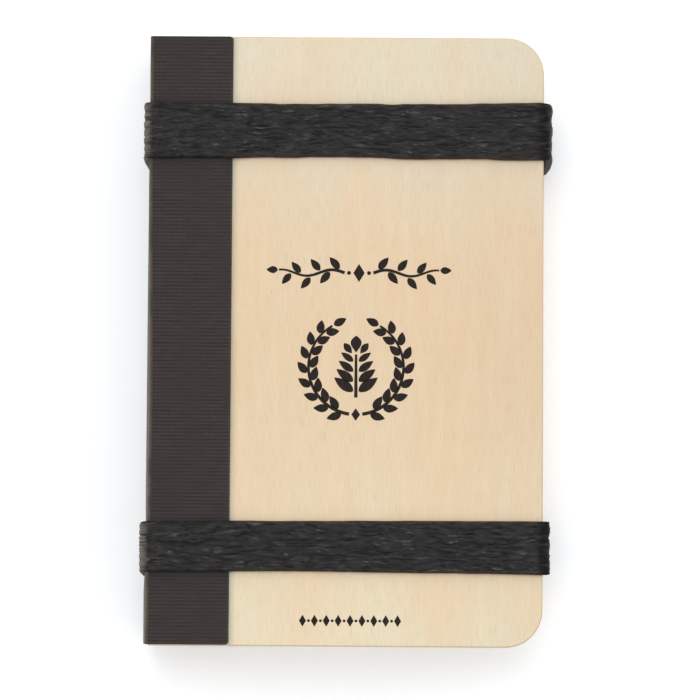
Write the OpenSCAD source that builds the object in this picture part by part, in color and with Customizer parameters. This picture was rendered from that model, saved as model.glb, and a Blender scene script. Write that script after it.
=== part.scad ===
// Pocket flower press: two plywood boards in a half-cloth binding, closed round a stack of
// blotters and corrugated cards, and held shut by two wide elastic bands.
// It lies on its back: +Z up, +Y to the head, +X to the fore edge. The origin is under the
// middle of the press, on the surface that the two bands stand on.

/* [Boards] */
// Width of a board, from the spine to the fore edge
board_w = 90; // [75:1:130]
// Length of a board, from head to tail
board_l = 140; // [115:1:200]
// Thickness of the plywood
board_t = 3; // [2:0.25:6]
// Radius of a board's two corners at the fore edge
corner_r = 8.5; // [7:0.5:20]
// How far a board's sharp edges are sanded back
edge_ease = 0.3; // [0.1:0.05:0.6]

/* [Binding] */
// Thickness of the book cloth
cloth_t = 0.3; // [0.2:0.05:0.6]
// Width of the cloth on the face of each board
flap_w = 18.4; // [12:0.1:30]
// How far the cloth stops short of the tail
cloth_trim = 0.3; // [0:0.1:2]
// Radius of the cloth's cut corners on the boards
cloth_corner_r = 0.8; // [0.4:0.1:3]
// Thickness of the strip that lines the spine inside
lining_t = 0.25; // [0.1:0.05:0.5]
// Clearance between the lining strip and each board, in which the spine folds
lining_gap = 0.15; // [0.1:0.05:0.5]

/* [Pressing stack] */
// Number of corrugated cards
card_count = 4; // [2:1:8]
// Number of blotters in each space between two cards
blotters_per_space = 2; // [1:1:4]
// Thickness of a corrugated card
card_t = 1.5; // [1.2:0.1:3]
// Thickness of a blotter
blotter_t = 0.5; // [0.3:0.1:1.5]
// Clearance between one leaf and the next
leaf_gap = 0.05; // [0.05:0.05:0.3]
// How far a leaf lies inside the boards at the head, the tail and the fore edge
leaf_inset = 2; // [1:0.5:6]
// How far a leaf lies inside the boards at the spine
leaf_spine_inset = 3; // [1:0.5:8]

/* [Corrugated card] */
// Distance from one flute to the next
flute_pitch = 3.2; // [2:0.1:6]
// Thickness of a liner, the flat paper on each face
liner_t = 0.25; // [0.15:0.05:0.35]
// Thickness of the medium, the fluted paper between the liners
medium_t = 0.2; // [0.12:0.02:0.3]
// How deep the crest of a flute is bedded in its liner by the glue
glue_bed = 0.03; // [0.01:0.01:0.08]

/* [Elastic bands] */
// Width of a band
band_w = 12.5; // [8:0.5:25]
// Thickness of a band
band_t = 1.6; // [0.8:0.1:2.5]
// Number of ridges that the crinkled elastic has across its width
ridge_count = 8; // [4:1:14]
// Height of the ridges
ridge_h = 0.35; // [0.1:0.05:0.6]
// Radius of a band's bend, inside, at each edge of the press
band_bend_r = 0.7; // [0.4:0.05:0.8]
// Clearance between a band and the faces of the cloth
band_gap = 0.05; // [0.05:0.05:0.3]
// Clearance between a band and the spine, and between a band and the fore edge
band_side_gap = 0.25; // [0.2:0.05:1]
// Distance from the head to the middle of the upper band
upper_band_drop = 21.8; // [15:0.1:40]
// Distance from the tail to the middle of the lower band
lower_band_rise = 22.8; // [15:0.1:40]

/* [Hidden] */
board_color = "#E8D6B6";
cloth_color = "#3F3B3A";
lining_color = "#4A4644";
band_color = "#343333";
card_color = "#B8946A";
blotter_color = "#EFEBDF";

circle_facets = 64;
flute_steps = 10;           // straight steps in one flute
ridge_steps = 6;            // straight steps in one ridge
ridge_sway_share = 0.02;    // of a band's width, by which the ridges are unevenly spaced
ridge_sways = 3;            // how often they draw together across the width
half_share = 0.5;           // of a size, for what lies in its middle
half_turn = 180;
full_turn = 360;
quarter_turn = 90;

// Heights, from the surface up
back_board_z = band_t + band_gap + cloth_t;
stack_z = back_board_z + board_t + leaf_gap;
space_h = card_t + leaf_gap + blotters_per_space * (blotter_t + leaf_gap);
stack_h = (card_count - 1) * space_h + card_t;
front_board_z = stack_z + stack_h + leaf_gap;
spine_top_z = front_board_z + board_t;
press_top_z = spine_top_z + cloth_t + band_gap + band_t;

// Places from the spine to the fore edge. The bands are centred on the origin.
board_x0 = (cloth_t - board_w) * half_share;
leaf_w = board_w - leaf_spine_inset - leaf_inset;
leaf_l = board_l - leaf_inset - leaf_inset;
leaf_x0 = board_x0 + leaf_spine_inset;
leaf_r = corner_r - leaf_inset;
band_in_w = board_w + cloth_t + band_side_gap + band_side_gap;
band_in_h = press_top_z - band_t - band_t;
cloth_l = board_l - cloth_trim;
cloth_y = cloth_trim * half_share;

// The medium runs as a sine between the liners
wave_h = card_t - liner_t - liner_t - medium_t + glue_bed + glue_bed;
flute_count = ceil(leaf_w / flute_pitch);

blotter_count = (card_count - 1) * blotters_per_space;

// A true round of the radius r, for every curved corner.
module disc(r) {
    circle(r = r, $fn = circle_facets);
}

// A leaf's or a board's outline: square at the spine, rounded at the fore edge.
module page_outline(w, l, r) {
    translate([0, -l * half_share]) square([w - r, l]);
    translate([0, r - l * half_share]) square([w, l - r - r]);
    for (side = [-1, 1]) translate([w - r, side * (l * half_share - r)]) disc(r);
}

// Cross-section of a board over the length l: a slab whose four long edges are eased.
module eased_section(l) {
    far = l - edge_ease;
    top = board_t - edge_ease;
    polygon([
        [edge_ease, 0], [far, 0], [l, edge_ease], [l, top],
        [far, board_t], [edge_ease, board_t], [0, top], [0, edge_ease]
    ]);
}

// The round end of a board at one of its corners, with the same eased edges.
module eased_corner() {
    rim = corner_r - edge_ease;
    top = board_t - edge_ease;
    rotate_extrude($fn = circle_facets) polygon([
        [0, 0], [rim, 0], [corner_r, edge_ease], [corner_r, top], [rim, board_t], [0, board_t]
    ]);
}

// A plywood board: square at the spine, rounded at the fore edge, eased all round.
module board(z) {
    straight_l = board_l - corner_r - corner_r;
    color(board_color) translate([board_x0, 0, z]) {
        rotate([quarter_turn, 0, 0])
            linear_extrude(straight_l, center = true) eased_section(board_w);
        intersection() {
            rotate([quarter_turn, 0, 0])
                linear_extrude(board_l, center = true) eased_section(board_w);
            rotate([quarter_turn, 0, quarter_turn]) linear_extrude(board_w - corner_r)
                translate([-board_l * half_share, 0]) eased_section(board_l);
        }
        for (side = [-1, 1])
            translate([board_w - corner_r, side * straight_l * half_share, 0]) eased_corner();
    }
}

// The cloth on a board's outer face. Its two corners towards the fore edge are cut round.
module flap(z) {
    color(cloth_color)
        translate([board_x0, cloth_y, z])
            linear_extrude(cloth_t) page_outline(flap_w, cloth_l, cloth_corner_r);
}

module back_board() { board(back_board_z); }

module front_board() { board(front_board_z); }

module back_flap() { flap(back_board_z - cloth_t); }

module front_flap() { flap(spine_top_z); }

// The cloth across the spine. It folds along its lower and its upper edge.
module spine_panel() {
    color(cloth_color)
        translate([board_x0 - cloth_t, cloth_y - cloth_l * half_share, back_board_z])
            cube([cloth_t, cloth_l, spine_top_z - back_board_z]);
}

// The strip glued inside the spine panel, between the two boards.
module spine_lining() {
    lining_z = back_board_z + board_t + lining_gap;
    color(lining_color)
        translate([board_x0, cloth_y - cloth_l * half_share, lining_z])
            cube([lining_t, cloth_l, front_board_z - lining_gap - lining_z]);
}

// Height and slope of the medium's middle line at the distance x along the card.
function wave_z(x) = wave_h * half_share * sin(full_turn * x / flute_pitch);
function wave_slope(x) =
    wave_h * half_share * cos(full_turn * x / flute_pitch) * 2 * PI / flute_pitch;

// The point of the medium's face at x: side is 1 for its upper face and -1 for its lower one.
function medium_point(x, side) =
    let (slope = wave_slope(x), reach = side * medium_t * half_share / sqrt(1 + slope * slope))
    [x - reach * slope, wave_z(x) + reach];

// Cross-section of the medium over the whole card, in one piece.
module medium_section() {
    last = flute_count * flute_steps;
    xs = [for (i = [-flute_steps : last]) i * flute_pitch / flute_steps];
    polygon(concat(
        [for (x = xs) medium_point(x, 1)],
        [for (i = [len(xs) - 1 : -1 : 0]) medium_point(xs[i], -1)]
    ));
}

// A corrugated card: two flat liners and, between them, a medium whose flutes run from head to
// tail, so that air gets to the blotters. The medium is trimmed to the card's outline.
module card(i) {
    color(card_color) translate([leaf_x0, 0, stack_z + (i - 1) * space_h]) {
        for (z = [0, card_t - liner_t])
            translate([0, 0, z]) linear_extrude(liner_t) page_outline(leaf_w, leaf_l, leaf_r);
        intersection() {
            linear_extrude(card_t) page_outline(leaf_w, leaf_l, leaf_r);
            translate([0, 0, card_t * half_share]) rotate([quarter_turn, 0, 0])
                linear_extrude(board_l, center = true) medium_section();
        }
    }
}

// Blotters are numbered from the back board up.
module blotter(i) {
    space = floor((i - 1) / blotters_per_space);
    place = (i - 1) % blotters_per_space;
    z = stack_z + space * space_h + card_t + leaf_gap + place * (blotter_t + leaf_gap);
    color(blotter_color)
        translate([leaf_x0, 0, z]) linear_extrude(blotter_t) page_outline(leaf_w, leaf_l, leaf_r);
}

// Thickness of a band at the share u of its width. The ridges have round crests and sharp
// creases, and are unevenly spaced.
function band_thickness(u) =
    let (swayed = u + ridge_sway_share * sin(full_turn * ridge_sways * u))
    band_t - ridge_h * (1 - abs(sin(half_turn * ridge_count * swayed)));

// Cross-section of a band at the distance inner from the y axis, ridged on its outer side.
// Turned over, it faces the other way along the band.
module band_section(inner, turned = false) {
    last = ridge_count * ridge_steps;
    way = turned ? -1 : 1;
    polygon(concat(
        [[inner, way * band_w * half_share], [inner, -way * band_w * half_share]],
        [for (i = [0 : last])
            [inner + band_thickness(i / last), way * band_w * (i / last - half_share)]]
    ));
}

// An elastic band: a closed loop round the whole press, of four straight runs and four bends.
// The run that the press lies on is pressed flat.
module band(y) {
    halves = [band_in_w * half_share, band_in_h * half_share];
    color(band_color) translate([0, y, press_top_z * half_share]) for (k = [0 : 3]) {
        out = halves[k % 2];
        along = halves[(k + 1) % 2];
        run_l = along + along - band_bend_r - band_bend_r;
        rotate([0, -quarter_turn * k, 0]) {
            if (k == 3)
                translate([out, -band_w * half_share, -run_l * half_share])
                    cube([band_t, band_w, run_l]);
            else
                linear_extrude(run_l, center = true) band_section(out);
            translate([out - band_bend_r, 0, along - band_bend_r]) rotate([quarter_turn, 0, 0])
                rotate_extrude(angle = quarter_turn, $fn = circle_facets)
                    band_section(band_bend_r, true);
        }
    }
}

module upper_band() { band(board_l * half_share - upper_band_drop); }

module lower_band() { band(lower_band_rise - board_l * half_share); }

back_board();
back_flap();
spine_panel();
spine_lining();
front_board();
front_flap();
upper_band();
lower_band();
for (i = [1 : card_count]) card(i);
for (i = [1 : blotter_count]) blotter(i);
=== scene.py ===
"""The looks of a pocket flower press: its veneer, book cloth, crinkled elastic and print.

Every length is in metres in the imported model's frame: +Z up through the closed press, +Y to its
head and +X to its fore edge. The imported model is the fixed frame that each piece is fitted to.
"""
import logging
import math
from collections.abc import Mapping, Sequence
from dataclasses import dataclass, field
from enum import Enum
from typing import Any

import bpy
import numpy as np
from mathutils import Matrix, Vector


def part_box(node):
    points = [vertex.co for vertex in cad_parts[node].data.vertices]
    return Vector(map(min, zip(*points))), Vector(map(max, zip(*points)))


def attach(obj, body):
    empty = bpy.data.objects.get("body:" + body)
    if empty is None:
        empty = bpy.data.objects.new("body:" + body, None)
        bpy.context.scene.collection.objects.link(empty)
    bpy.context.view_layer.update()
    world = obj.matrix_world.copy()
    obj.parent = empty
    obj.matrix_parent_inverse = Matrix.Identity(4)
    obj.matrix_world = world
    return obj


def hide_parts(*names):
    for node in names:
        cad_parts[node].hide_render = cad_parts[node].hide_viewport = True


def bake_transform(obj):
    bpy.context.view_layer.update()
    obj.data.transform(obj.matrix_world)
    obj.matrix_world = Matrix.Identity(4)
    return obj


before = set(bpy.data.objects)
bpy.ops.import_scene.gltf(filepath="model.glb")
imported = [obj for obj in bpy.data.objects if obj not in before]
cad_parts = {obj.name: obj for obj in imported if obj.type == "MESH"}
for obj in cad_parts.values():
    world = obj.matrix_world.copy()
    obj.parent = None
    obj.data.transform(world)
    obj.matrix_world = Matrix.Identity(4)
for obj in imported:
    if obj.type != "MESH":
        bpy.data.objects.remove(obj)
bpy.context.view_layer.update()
MM = 0.001
LOG = logging.getLogger("flower_press")

Colour = tuple[float, float, float, float]
Pair = tuple[float, float]
Values = float | np.ndarray
Socket = bpy.types.NodeSocket
Tree = bpy.types.NodeTree

# Blender's wave texture, at a scale of 1, has waves of this length in metres.
WAVE_LENGTH = math.tau / 20
# Each grain of a finish reads its own slice of the noise, this far from the last one's.
SLICE_GAP = 3.0


class Blend(Enum):
    """How a layer of colour lies on what is below it."""

    COVER = "MIX"
    # Darkens what lies below it: painted shade.
    PAINTED_SHADE = "MULTIPLY"


# A layer of colour: its share at each place, its colour, and how it lies.
Layer = tuple[Socket, str, Blend]
# What lies below a finish's grains: the lowest colour, the layers over it, and their height if they
# have a relief of their own.
Ground = tuple[str, list[Layer], Socket | None]


def linear_colour(hex_colour: str) -> Colour:
    """Turns an sRGB colour into Blender's linear one.

    Args:
        hex_colour: The colour as six hexadecimal digits.

    Returns:
        Red, green, blue and alpha, in linear light.
    """
    shares = (int(hex_colour[i:i + 2], 16) / 255 for i in (0, 2, 4))
    red, green, blue = (s / 12.92 if s <= 0.04045 else ((s + 0.055) / 1.055) ** 2.4 for s in shares)
    return red, green, blue, 1.0


def add_node(
    tree: Tree,
    kind: str,
    settings: Mapping[str, Any] | None = None,
    inputs: Mapping[str | int, Any] | None = None,
    output: str | None = None,
) -> Socket:
    """Adds a node to a tree with its settings and links.

    Args:
        tree: The tree that gets the node.
        kind: Blender's name of the node's type, without the prefix ShaderNode.
        settings: The node's own attributes, by name.
        inputs: What feeds each input, by its name or number: a value, or an output to link.
        output: The output that is wanted. The first one that is in use, if left out.

    Returns:
        That output.
    """
    node = tree.nodes.new(f"ShaderNode{kind}")
    for name, value in (settings or {}).items():
        setattr(node, name, value)
    for key, value in (inputs or {}).items():
        named = (s for s in node.inputs if s.enabled and s.name == key)
        socket = node.inputs[key] if isinstance(key, int) else next(named)
        if isinstance(value, Socket):
            tree.links.new(value, socket)
        else:
            socket.default_value = value
    return node.outputs[output] if output else next(s for s in node.outputs if s.enabled)


def smooth_step(low: float, high: float, x: np.ndarray) -> np.ndarray:
    """Rises smoothly from 0 where x is low to 1 where it is high, which may be the lesser of the two."""
    t = np.clip((x - low) / (high - low), 0, 1)
    return t * t * (3 - 2 * t)


def unit(vectors: np.ndarray) -> np.ndarray:
    """Scales vectors, which run along the last axis, to a length of 1."""
    return vectors / np.linalg.norm(vectors, axis=-1, keepdims=True)


def across_path(path: np.ndarray) -> np.ndarray:
    """Turns directions along a path, in X and Z, to its outer side."""
    return np.stack([path[..., 1], -path[..., 0]], 2)


def closer_at_ends(
    low: float, high: float, near_end: Sequence[float], inset: float, count: int
) -> np.ndarray:
    """Spaces places evenly but for an inset at both ends, where they lie near_end millimetres in."""
    near = np.array(near_end) * MM
    return np.concatenate([low + near, np.linspace(low + inset, high - inset, count), high - near[::-1]])


def soft_curve(
    x: np.ndarray, places: Sequence[float], values: Sequence[float], blur: float
) -> np.ndarray:
    """Reads at x a curve with these values at these places, its corners rounded as far as blur."""
    near = np.linspace(-blur, blur, 9)
    return np.mean([np.interp(x + step, places, values) for step in near], axis=0)


@dataclass(frozen=True)
class Grain:
    """Random grains of another colour in a surface.

    Each grain has its real size along X, Y and Z. Noise from low to high makes none to all of it.
    """

    hex_colour: str
    strength: float
    size: tuple[float, float, float]
    low: float = 0.3
    high: float = 0.75
    octaves: float = 2.0


@dataclass(frozen=True)
class Finish:
    """A surface of one material, with random grains over its ground.

    The first grain also stands out as a relief, as deep as relief says.
    """

    name: str
    hex_colour: str
    roughness: float
    specular_level: float
    sheen: float = 0.0
    sheen_hex: str = "FFFFFF"
    glow: float = 0.0
    relief: float = 0.0
    grains: tuple[Grain, ...] = ()

    def material(self) -> bpy.types.Material:
        """Builds the material.

        Returns:
            The material.
        """
        made = bpy.data.materials.new(self.name)
        made.use_nodes = True
        tree = made.node_tree
        shader = tree.nodes["Principled BSDF"]
        even = linear_colour(self.hex_colour)
        values = {
            "Base Color": even, "Roughness": self.roughness, "Specular IOR Level": self.specular_level,
            "Sheen Weight": self.sheen, "Sheen Tint": linear_colour(self.sheen_hex),
            "Emission Color": even, "Emission Strength": self.glow,
        }
        for name, value in values.items():
            shader.inputs[name].default_value = value
        here = add_node(tree, "TexCoord", output="Object")
        lowest, layers, height = self.ground(tree, here)
        for seed, grain in enumerate(self.grains):
            place = {"Vector": here, "Scale": tuple(1 / length for length in grain.size)}
            noise = add_node(
                tree, "TexNoise", {"noise_dimensions": "4D"},
                {
                    "Vector": add_node(tree, "Mapping", inputs=place), "W": SLICE_GAP * seed,
                    "Scale": 1.0, "Detail": grain.octaves,
                },
            )
            limits = {"From Min": grain.low, "From Max": grain.high, "To Max": grain.strength}
            share = add_node(
                tree, "MapRange", {"interpolation_type": "SMOOTHSTEP"}, {"Value": noise, **limits}
            )
            layers.append((share, grain.hex_colour, Blend.COVER))
            height = height or share
        colour: Colour | Socket = linear_colour(lowest)
        for share, hex_colour, blend in layers:
            tint = {"Factor": share, "A": colour, "B": linear_colour(hex_colour)}
            colour = add_node(tree, "Mix", {"data_type": "RGBA", "blend_type": blend.value}, tint)
        if layers:
            tree.links.new(colour, shader.inputs["Base Color"])
        if height and self.relief:
            bump = add_node(tree, "Bump", inputs={"Height": height, "Distance": self.relief})
            tree.links.new(bump, shader.inputs["Normal"])
        return made

    def ground(self, tree: Tree, here: Socket) -> Ground:
        """Draws what lies below the grains, which is here one even colour."""
        return self.hex_colour, [], None


@dataclass(frozen=True)
class BasswoodPly(Finish):
    """Three-ply basswood, sanded and unvarnished.

    It gives the eye a pale, warm, almost even face with hair-fine streaks along the grain, a tone
    that deepens towards the middle of its length, painted shade a little towards the fore edge and
    beside the cloth on the outer face, and duller edges with a darker core.
    """

    inner: float = 0.0
    outer: float = 0.0
    half_width: float = 0.0
    half_length: float = 0.0
    cloth_edge: float = 0.0
    cloth_shade_reach: float = 1.75 * MM
    eased_share: float = 0.008
    face_share: float = 0.26
    glue_share: float = 0.03
    even_share: float = 0.05
    head_hex: str = "DAD0B9"
    tail_hex: str = "E1D4B7"
    fore_shade_hex: str = "FBFAFA"
    cloth_shade_hex: str = "DAE4EB"
    side_hex: str = "BCA888"
    core_hex: str = "C0A076"
    glue_hex: str = "8A6A48"

    def ground(self, tree: Tree, here: Socket) -> Ground:
        """Draws the veneer's tone along the board, and the plies on its edges.

        Args:
            tree: The material's tree.
            here: The board's own coordinates.

        Returns:
            The even colour, the layers over it, and no height.
        """
        across = add_node(tree, "SeparateXYZ", inputs={"Vector": here}).node.outputs
        limits = {"From Min": self.inner, "From Max": self.outer}
        height = add_node(tree, "MapRange", inputs={"Value": across["Z"], **limits})
        even, beside = self.even_share, self.cloth_edge + self.cloth_shade_reach
        tones = (
            ("Y", even * self.half_length, self.half_length, 1.0, self.head_hex, Blend.COVER),
            ("Y", -even * self.half_length, -self.half_length, 1.0, self.tail_hex, Blend.COVER),
            # Painted shade darkens the face a little towards the fore edge.
            ("X", even * self.half_width, self.half_width, 1.0, self.fore_shade_hex, Blend.PAINTED_SHADE),
            # Painted shade darkens the outer face beside the cloth's edge, as the cloth's shadow.
            ("X", beside, self.cloth_edge, height, self.cloth_shade_hex, Blend.PAINTED_SHADE),
        )
        layers: list[Layer] = []
        for axis, start, end, most, hex_colour, blend in tones:
            share = add_node(
                tree, "MapRange", {"interpolation_type": "SMOOTHSTEP"},
                {"Value": across[axis], "From Min": start, "From Max": end, "To Max": most},
            )
            layers.append((share, hex_colour, blend))
        plies = (
            (self.eased_share, self.side_hex),
            (self.face_share, self.glue_hex),
            (self.face_share + self.glue_share, self.core_hex),
        )
        for depth, hex_colour in plies:
            inside = add_node(
                tree, "Math", {"operation": "COMPARE"}, {0: height, 1: 0.5, 2: 0.5 - depth}
            )
            layers.append((inside, hex_colour, Blend.COVER))
        return self.hex_colour, layers, None


@dataclass(frozen=True)
class BookCloth(Finish):
    """Charcoal buckram, a starched cotton weave.

    It gives the eye fine ribs across the strip, crossed by fainter threads, a soft edge of light
    where it turns away, and a lighter line where it turns round the spine, which is rubbed and also
    a painted highlight.
    """

    rib_pitch: float = 0.82 * MM
    thread_pitch: float = 0.7 * MM
    thread_share: float = 0.2
    wander: float = 0.25
    roundness: float = 0.5
    groove_hex: str = "1C1918"
    rubbed_and_highlight_hex: str = "625A4F"
    map_name: str = "weave_place"
    rubbed_and_highlight_name: str = "rubbed_and_highlight_share"

    def ground(self, tree: Tree, here: Socket) -> Ground:
        """Draws the weave from the strip's own flat coordinates.

        Args:
            tree: The material's tree.
            here: The piece's own coordinates, which are not used.

        Returns:
            The grooves' colour, the layers over it, and the height of the threads.
        """
        flat = add_node(tree, "Attribute", {"attribute_name": self.map_name}, output="Vector")
        loose = {"Vector": flat, "Distortion": self.wander, "Detail": 1.0}
        rib, thread = (
            add_node(
                tree, "TexWave", {"bands_direction": way}, {**loose, "Scale": WAVE_LENGTH / pitch}, "Fac"
            )
            for way, pitch in (("Y", self.rib_pitch), ("X", self.thread_pitch))
        )
        weave = add_node(tree, "Mix", inputs={"Factor": self.thread_share, "A": rib, "B": thread})
        rounded = add_node(tree, "Math", {"operation": "POWER"}, {0: weave, 1: self.roundness})
        rubbed_and_highlight = add_node(tree, "Attribute", {"attribute_name": self.rubbed_and_highlight_name}, output="Fac")
        # The line rubbed at the spine's turn is also painted lighter as a highlight.
        layers = [(rounded, self.hex_colour, Blend.COVER), (rubbed_and_highlight, self.rubbed_and_highlight_hex, Blend.COVER)]
        return self.groove_hex, layers, rounded


@dataclass(frozen=True)
class CrinkledElastic(Finish):
    """Crinkled rubber elastic covered in polyester.

    It gives the eye a dull near-black with small painted glints on the crests of its wrinkles,
    painted shade in its creases, at its edges over the cloth and where it turns over the fore edge,
    a greyer spine side that is rubbed and also a painted highlight, and brownish edges over the wood
    that are painted light reflected from the wood.
    """

    crease_shade_hex: str = "1D1C1C"
    glint_hex: str = "5B5958"
    worn_and_highlight_hex: str = "7A746B"
    wood_reflection_hex: str = "402E20"
    shade_hex: str = "0A0909"
    glint_from: float = 0.82
    crest_name: str = "crest_share"
    worn_and_highlight_name: str = "worn_and_highlight_share"
    wood_reflection_name: str = "wood_reflection_share"
    shade_name: str = "shade_share"

    def ground(self, tree: Tree, here: Socket) -> Ground:
        """Paints glints, shade, light reflected from the wood, and wear with a highlight, by the band's
        shape.

        Args:
            tree: The material's tree.
            here: The piece's own coordinates, which are not used.

        Returns:
            The creases' painted shade, the layers over it, and no height.
        """
        crest, worn_and_highlight, edge, shade = (
            add_node(tree, "Attribute", {"attribute_name": name}, output="Fac")
            for name in (self.crest_name, self.worn_and_highlight_name, self.wood_reflection_name, self.shade_name)
        )
        # Painted glints where the crests stand highest, over painted shade in the creases.
        high = add_node(tree, "MapRange", inputs={"Value": crest, "From Min": self.glint_from})
        shares = (crest, high, worn_and_highlight, edge, shade)
        colours = (self.hex_colour, self.glint_hex, self.worn_and_highlight_hex, self.wood_reflection_hex, self.shade_hex)
        layers = [(share, hex_colour, Blend.COVER) for share, hex_colour in zip(shares, colours)]
        return self.crease_shade_hex, layers, None


@dataclass(frozen=True)
class KraftBoard(Finish):
    """Unbleached kraft paper, as corrugated card is made of.

    It gives the eye a warm brown, faint bars over the flutes and scattered darker fibres.
    """

    flute_pitch: float = 3.2 * MM
    bar_share: float = 0.2
    bar_hex: str = "9A7950"

    def ground(self, tree: Tree, here: Socket) -> Ground:
        """Draws the faint bars that the flutes press into the paper.

        Args:
            tree: The material's tree.
            here: The piece's own coordinates.

        Returns:
            The even colour, the bars over it, and no height.
        """
        flutes = {"Vector": here, "Scale": WAVE_LENGTH / self.flute_pitch}
        bars = add_node(tree, "TexWave", inputs=flutes, output="Fac")
        faint = add_node(tree, "Math", {"operation": "MULTIPLY"}, {0: bars, 1: self.bar_share})
        return self.hex_colour, [(faint, self.bar_hex, Blend.COVER)], None


BUCKRAM = BookCloth(
    "buckram", "3F3938", 0.85, 0.08, sheen=0.28, sheen_hex="EEDFD6", relief=0.05 * MM,
    grains=(
        Grain("464140", 0.35, (4 * MM, 0.8 * MM, 4 * MM)),
        Grain("2B2827", 0.35, (0.5 * MM, 0.4 * MM, 0.5 * MM)),
        Grain("353130", 0.6, (5 * MM, 9 * MM, 5 * MM), low=0.42, high=0.6),
    ),
)
CRINKLED_ELASTIC = CrinkledElastic(
    "crinkled_elastic", "343333", 0.65, 0.08, sheen=0.04, sheen_hex="FFF0E4", relief=0.03 * MM,
    grains=(
        Grain("232222", 0.35, (1.5 * MM, 0.2 * MM, 1.5 * MM), octaves=3.0),
        Grain("454342", 0.5, (3 * MM, 0.9 * MM, 3 * MM), low=0.45),
    ),
)
# Kraft paper gives the eye brown fibres at random, pressed flat by the paper machine. They are drawn
# about ten times as wide as they are, so that they show.
KRAFT_BOARD = KraftBoard(
    "kraft_board", "B8946A", 0.85, 0.2, relief=0.02 * MM,
    grains=(
        Grain("8E6C46", 0.4, (0.35 * MM, 1.3 * MM, 0.35 * MM), low=0.52, high=0.68, octaves=3.0),
        Grain("CBAA80", 0.45, (9 * MM, 14 * MM, 9 * MM)),
    ),
)
# Unsized blotting paper, felted from cotton pulp: a soft warm white with a tooth and no shine. The
# tooth is drawn as clumps of fibres, because one fibre is too fine to show.
BLOTTING_PAPER = Finish(
    "blotting_paper", "F1EDE2", 0.95, 0.1, sheen=0.1, relief=0.04 * MM,
    grains=(
        Grain("DDD5C2", 0.45, (0.5 * MM, 0.5 * MM, 0.25 * MM), octaves=4.0),
        Grain("DDD5C2", 0.2, (11 * MM, 11 * MM, 11 * MM)),
    ),
)
# Black calendered lining paper: a flat dark grey with fine fibres and a faint scuffed bloom. The
# fibres are drawn about ten times as wide as they are.
LINING_PAPER = Finish(
    "lining_paper", "4A4644", 0.7, 0.25, relief=0.012 * MM,
    grains=(
        Grain("6A6562", 0.3, (0.4 * MM, 1.8 * MM, 0.6 * MM), low=0.45, octaves=3.0),
        Grain("6A6562", 0.25, (3 * MM, 9 * MM, 3 * MM), low=0.45),
    ),
)
# Screen-printing ink on bare veneer: a flat warm black that thins a little along the wood's grain.
SCREEN_INK = Finish(
    "screen_ink", "1F1815", 0.65, 0.2,
    grains=(Grain("4A3C33", 0.4, (0.35 * MM, 3 * MM, 0.35 * MM), low=0.5, octaves=3.0),),
)
# Twisted black polyester thread: a row of glints, drawn as wide as the thread because its filaments
# are too fine to show.
POLYESTER_THREAD = Finish(
    "polyester_thread", "1E1D1D", 0.45, 0.4, relief=0.02 * MM,
    grains=(Grain("4C4A49", 1.0, (0.35 * MM, 0.35 * MM, 0.35 * MM), low=0.4, high=0.65, octaves=0.0),),
)
# White acrylic lit from below, as a light table has: no more than a breath of shadow shows on it.
LIT_ACRYLIC = Finish("lit_acrylic", "EEF0F2", 0.9, 0.1, glow=0.27)


@dataclass(frozen=True)
class GradientNoise:
    """A smooth random field that closes on itself along its first direction."""

    round_cells: int
    seed: int
    cross_cells: int = 64

    def at(self, a: np.ndarray, b: np.ndarray) -> np.ndarray:
        """Reads the field.

        Args:
            a: Places along the first direction, in cells. The field repeats after round_cells.
            b: Places along the second direction, in cells.

        Returns:
            Values about zero, mostly within 0.5 of it.
        """
        cells = (self.round_cells, self.cross_cells)
        angles = np.random.default_rng(self.seed).uniform(0, math.tau, cells)
        ia, ib = np.floor(a).astype(int), np.floor(b).astype(int)
        fa, fb = a - ia, b - ib

        def corner(da: int, db: int) -> np.ndarray:
            """The pull of one corner of the cell."""
            angle = angles[(ia + da) % self.round_cells, (ib + db) % self.cross_cells]
            return np.cos(angle) * (fa - da) + np.sin(angle) * (fb - db)

        ease_a, ease_b = (f ** 3 * (f * (6 * f - 15) + 10) for f in (fa, fb))
        near = corner(0, 0) * (1 - ease_a) + corner(1, 0) * ease_a
        far = corner(0, 1) * (1 - ease_a) + corner(1, 1) * ease_a
        return near * (1 - ease_b) + far * ease_b


def material_of(finish: Finish) -> bpy.types.Material:
    """Gives the finish's material, which is made only once."""
    return bpy.data.materials.get(finish.name) or finish.material()


def mesh_piece(
    name: str,
    points: np.ndarray,
    faces: Sequence[Sequence[int]],
    finish: Finish,
    shares: Mapping[str, np.ndarray] | None = None,
    smooth: bool = True,
) -> bpy.types.Object:
    """Makes a piece of the press from its points and faces.

    Args:
        name: The piece's name.
        points: Its points, one row each.
        faces: The numbers of each face's points.
        finish: What it is made of.
        shares: Values that its material reads, one row for each point, by name.
        smooth: Whether it is shaded as a smooth surface.

    Returns:
        The piece.
    """
    mesh = bpy.data.meshes.new(name)
    mesh.from_pydata(points.tolist(), [], [list(map(int, face)) for face in faces])
    mesh.validate()
    for key, values in (shares or {}).items():
        kind, field_name = ("FLOAT_VECTOR", "vector") if values.ndim > 1 else ("FLOAT", "value")
        attribute = mesh.attributes.new(key, kind, "POINT")
        attribute.data.foreach_set(field_name, values.astype(np.float32).ravel())
    mesh.polygons.foreach_set("use_smooth", [smooth] * len(mesh.polygons))
    mesh.materials.append(material_of(finish))
    piece = bpy.data.objects.new(name, mesh)
    bpy.context.scene.collection.objects.link(piece)
    LOG.info("%s: %d points, %d faces", name, len(mesh.vertices), len(mesh.polygons))
    return piece


def dress(node: str, finish: Finish) -> None:
    """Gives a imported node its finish.

    Args:
        node: The node's name.
        finish: What it is made of.
    """
    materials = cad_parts[node].data.materials
    materials.clear()
    materials.append(material_of(finish))
    LOG.info("%s: %s", node, finish.name)


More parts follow.
